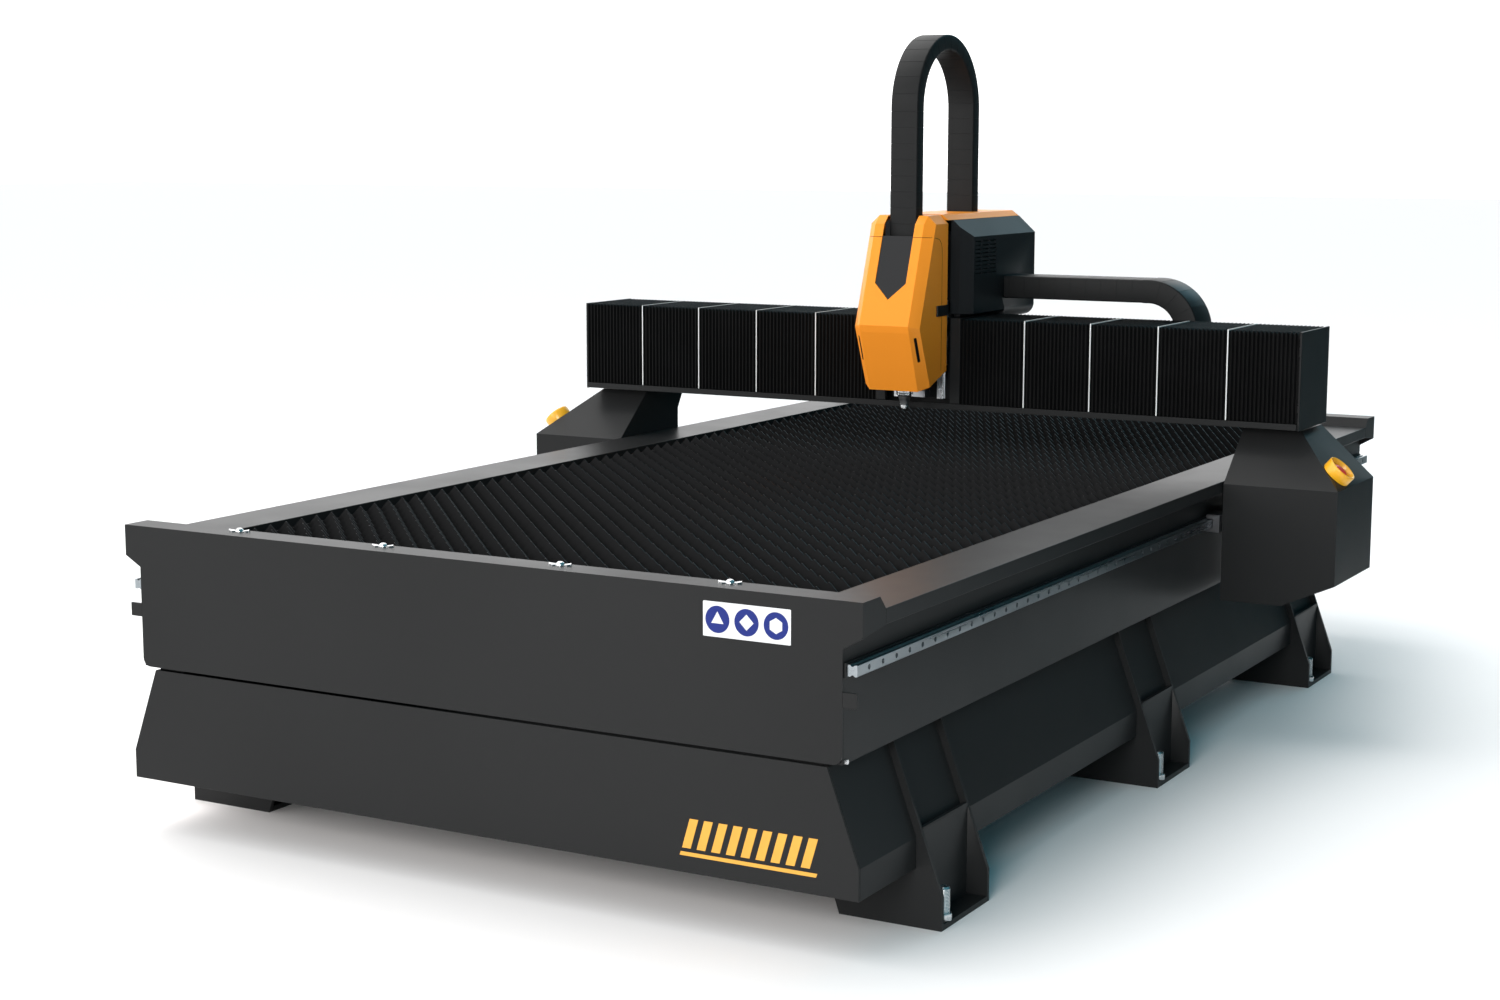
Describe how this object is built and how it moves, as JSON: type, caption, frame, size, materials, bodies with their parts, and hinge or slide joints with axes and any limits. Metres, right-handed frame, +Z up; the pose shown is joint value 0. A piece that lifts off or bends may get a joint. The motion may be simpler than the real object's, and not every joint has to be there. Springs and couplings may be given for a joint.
{
  "type": "cnc router",
  "caption": "Large gantry router with an open toothed-slat bed, a bellows-covered bridge on side housings and a faceted orange tool head that travels left, right, up and down",
  "frame": {"origin": "on the floor, under the middle of the bed's length and width", "axes": "+X to the operator's right when facing the machine from its front, +Y along the bed from the front panel to the back, +Z up"},
  "size_m": [2.5444, 3.602, 1.8825],
  "materials": {
    "frame_paint": "satin",
    "cover_paint": "satin",
    "panel_paint": "satin",
    "steel": "ground",
    "dark_steel": "matt",
    "plate_alloy": "machined",
    "bellows_cloth": "matt",
    "white_plastic": "matt",
    "black_plastic": "matt",
    "yellow_plastic": "gloss",
    "red_plastic": "gloss",
    "seal_rubber": "matt"
  },
  "bodies": {
    "bed": {"front_panel": "frame_paint", "rear_panel": "frame_paint", "side_beams": "frame_paint", "support_slats": "panel_paint", "slat_carriers": "dark_steel", "cross_beams": "frame_paint", "waste_tray": "frame_paint", "tray_end_panels": "frame_paint", "tray_seals": "seal_rubber", "leg_frames": "frame_paint", "levelling_bolts": "steel", "y_rails": "steel", "y_racks": "steel", "end_tabs": "frame_paint", "rim_clips": "steel", "side_bolts": "steel"},
    "gantry": {"gantry_side_plates": "frame_paint", "gantry_beam": "frame_paint", "beam_end_plates": "frame_paint", "housing_right": "frame_paint", "housing_left": "frame_paint", "stop_guards": "yellow_plastic", "y_bearing_blocks": "steel", "y_gearboxes": "dark_steel", "y_motors": "black_plastic", "x_rails": "steel", "x_rack": "steel", "bellows_left": "bellows_cloth", "bellows_right": "bellows_cloth", "bellows_stiffeners": "white_plastic", "bellows_tracks": "panel_paint", "chain_tray": "panel_paint"},
    "right_pinion": {"y_pinion_right": "steel"},
    "left_pinion": {"y_pinion_left": "steel"},
    "right_stop": {"stop_button_right": "red_plastic"},
    "left_stop": {"stop_button_left": "red_plastic"},
    "carriage": {"carriage_plate": "panel_paint", "bellows_frames": "black_plastic", "x_bearing_blocks": "steel", "z_rails": "steel", "x_motor": "black_plastic", "rear_box": "frame_paint", "rear_cap": "cover_paint", "screw_supports": "plate_alloy", "z_motor": "black_plastic", "x_chain_run": "black_plastic"},
    "cross_pinion": {"x_pinion": "steel"},
    "cross_chain": {"x_chain_loop": "black_plastic"},
    "head_chain": {"lift_chain": "black_plastic"},
    "screw": {"lift_screw": "steel"},
    "head": {"head_cover": "cover_paint", "chevron_panel": "panel_paint", "hood_latches": "panel_paint", "z_plate": "plate_alloy", "z_bearing_blocks": "steel", "screw_nut": "plate_alloy", "spindle_clamp": "plate_alloy", "spindle_motor": "plate_alloy"},
    "spindle": {"spindle_rotor": "steel", "cutter": "steel"}
  },
  "joints": [
    {"name": "gantry_travel", "type": "slide", "parent": "bed", "child": "gantry", "axis": [0, 1, 0], "range_m": [-1.95, 1.05]},
    {"name": "right_pinion_turn", "type": "hinge", "parent": "gantry", "child": "right_pinion", "pos_m": [0.92, 0.477, 0.63], "axis": [1, 0, 0], "continuous": true},
    {"name": "left_pinion_turn", "type": "hinge", "parent": "gantry", "child": "left_pinion", "pos_m": [-0.92, 0.477, 0.63], "axis": [1, 0, 0], "continuous": true},
    {"name": "right_stop_press", "type": "slide", "parent": "gantry", "child": "right_stop", "axis": [-0.6711, 0, -0.7413], "range_m": [0, 0.006], "stiffness_N_per_m": 600},
    {"name": "left_stop_press", "type": "slide", "parent": "gantry", "child": "left_stop", "axis": [0.6711, 0, -0.7413], "range_m": [0, 0.006], "stiffness_N_per_m": 600},
    {"name": "carriage_travel", "type": "slide", "parent": "gantry", "child": "carriage", "axis": [1, 0, 0], "range_m": [-0.65, 0.65], "deforming": ["bellows_left", "bellows_right", "bellows_stiffeners", "x_chain_run"]},
    {"name": "cross_pinion_turn", "type": "hinge", "parent": "carriage", "child": "cross_pinion", "pos_m": [0.008, 0.574, 1.07], "axis": [0, 0, 1], "continuous": true},
    {"name": "cross_chain_roll", "type": "slide", "parent": "carriage", "child": "cross_chain", "axis": [1, 0, 0], "range_m": [-0.33, 0.33]},
    {"name": "head_travel", "type": "slide", "parent": "carriage", "child": "head", "axis": [0, 0, 1], "range_m": [-0.125, 0.065]},
    {"name": "head_chain_roll", "type": "slide", "parent": "carriage", "child": "head_chain", "axis": [0, 0, 1], "range_m": [-0.065, 0.035]},
    {"name": "screw_turn", "type": "hinge", "parent": "carriage", "child": "screw", "pos_m": [0.008, 0.399, 1], "axis": [0, 0, 1], "continuous": true},
    {"name": "spindle_spin", "type": "hinge", "parent": "head", "child": "spindle", "pos_m": [0.008, 0.307, 0.9], "axis": [0, 0, 1], "continuous": true}
  ],
  "couplings": [
    {"joint": "right_pinion_turn", "follows": "gantry_travel", "rad_per_m": 37.037},
    {"joint": "left_pinion_turn", "follows": "gantry_travel", "rad_per_m": 37.037},
    {"joint": "cross_pinion_turn", "follows": "carriage_travel", "rad_per_m": -37.037},
    {"joint": "cross_chain_roll", "follows": "carriage_travel", "ratio": -0.5},
    {"joint": "head_chain_roll", "follows": "head_travel", "ratio": 0.5},
    {"joint": "screw_turn", "follows": "head_travel", "rad_per_m": -628.32}
  ]
}
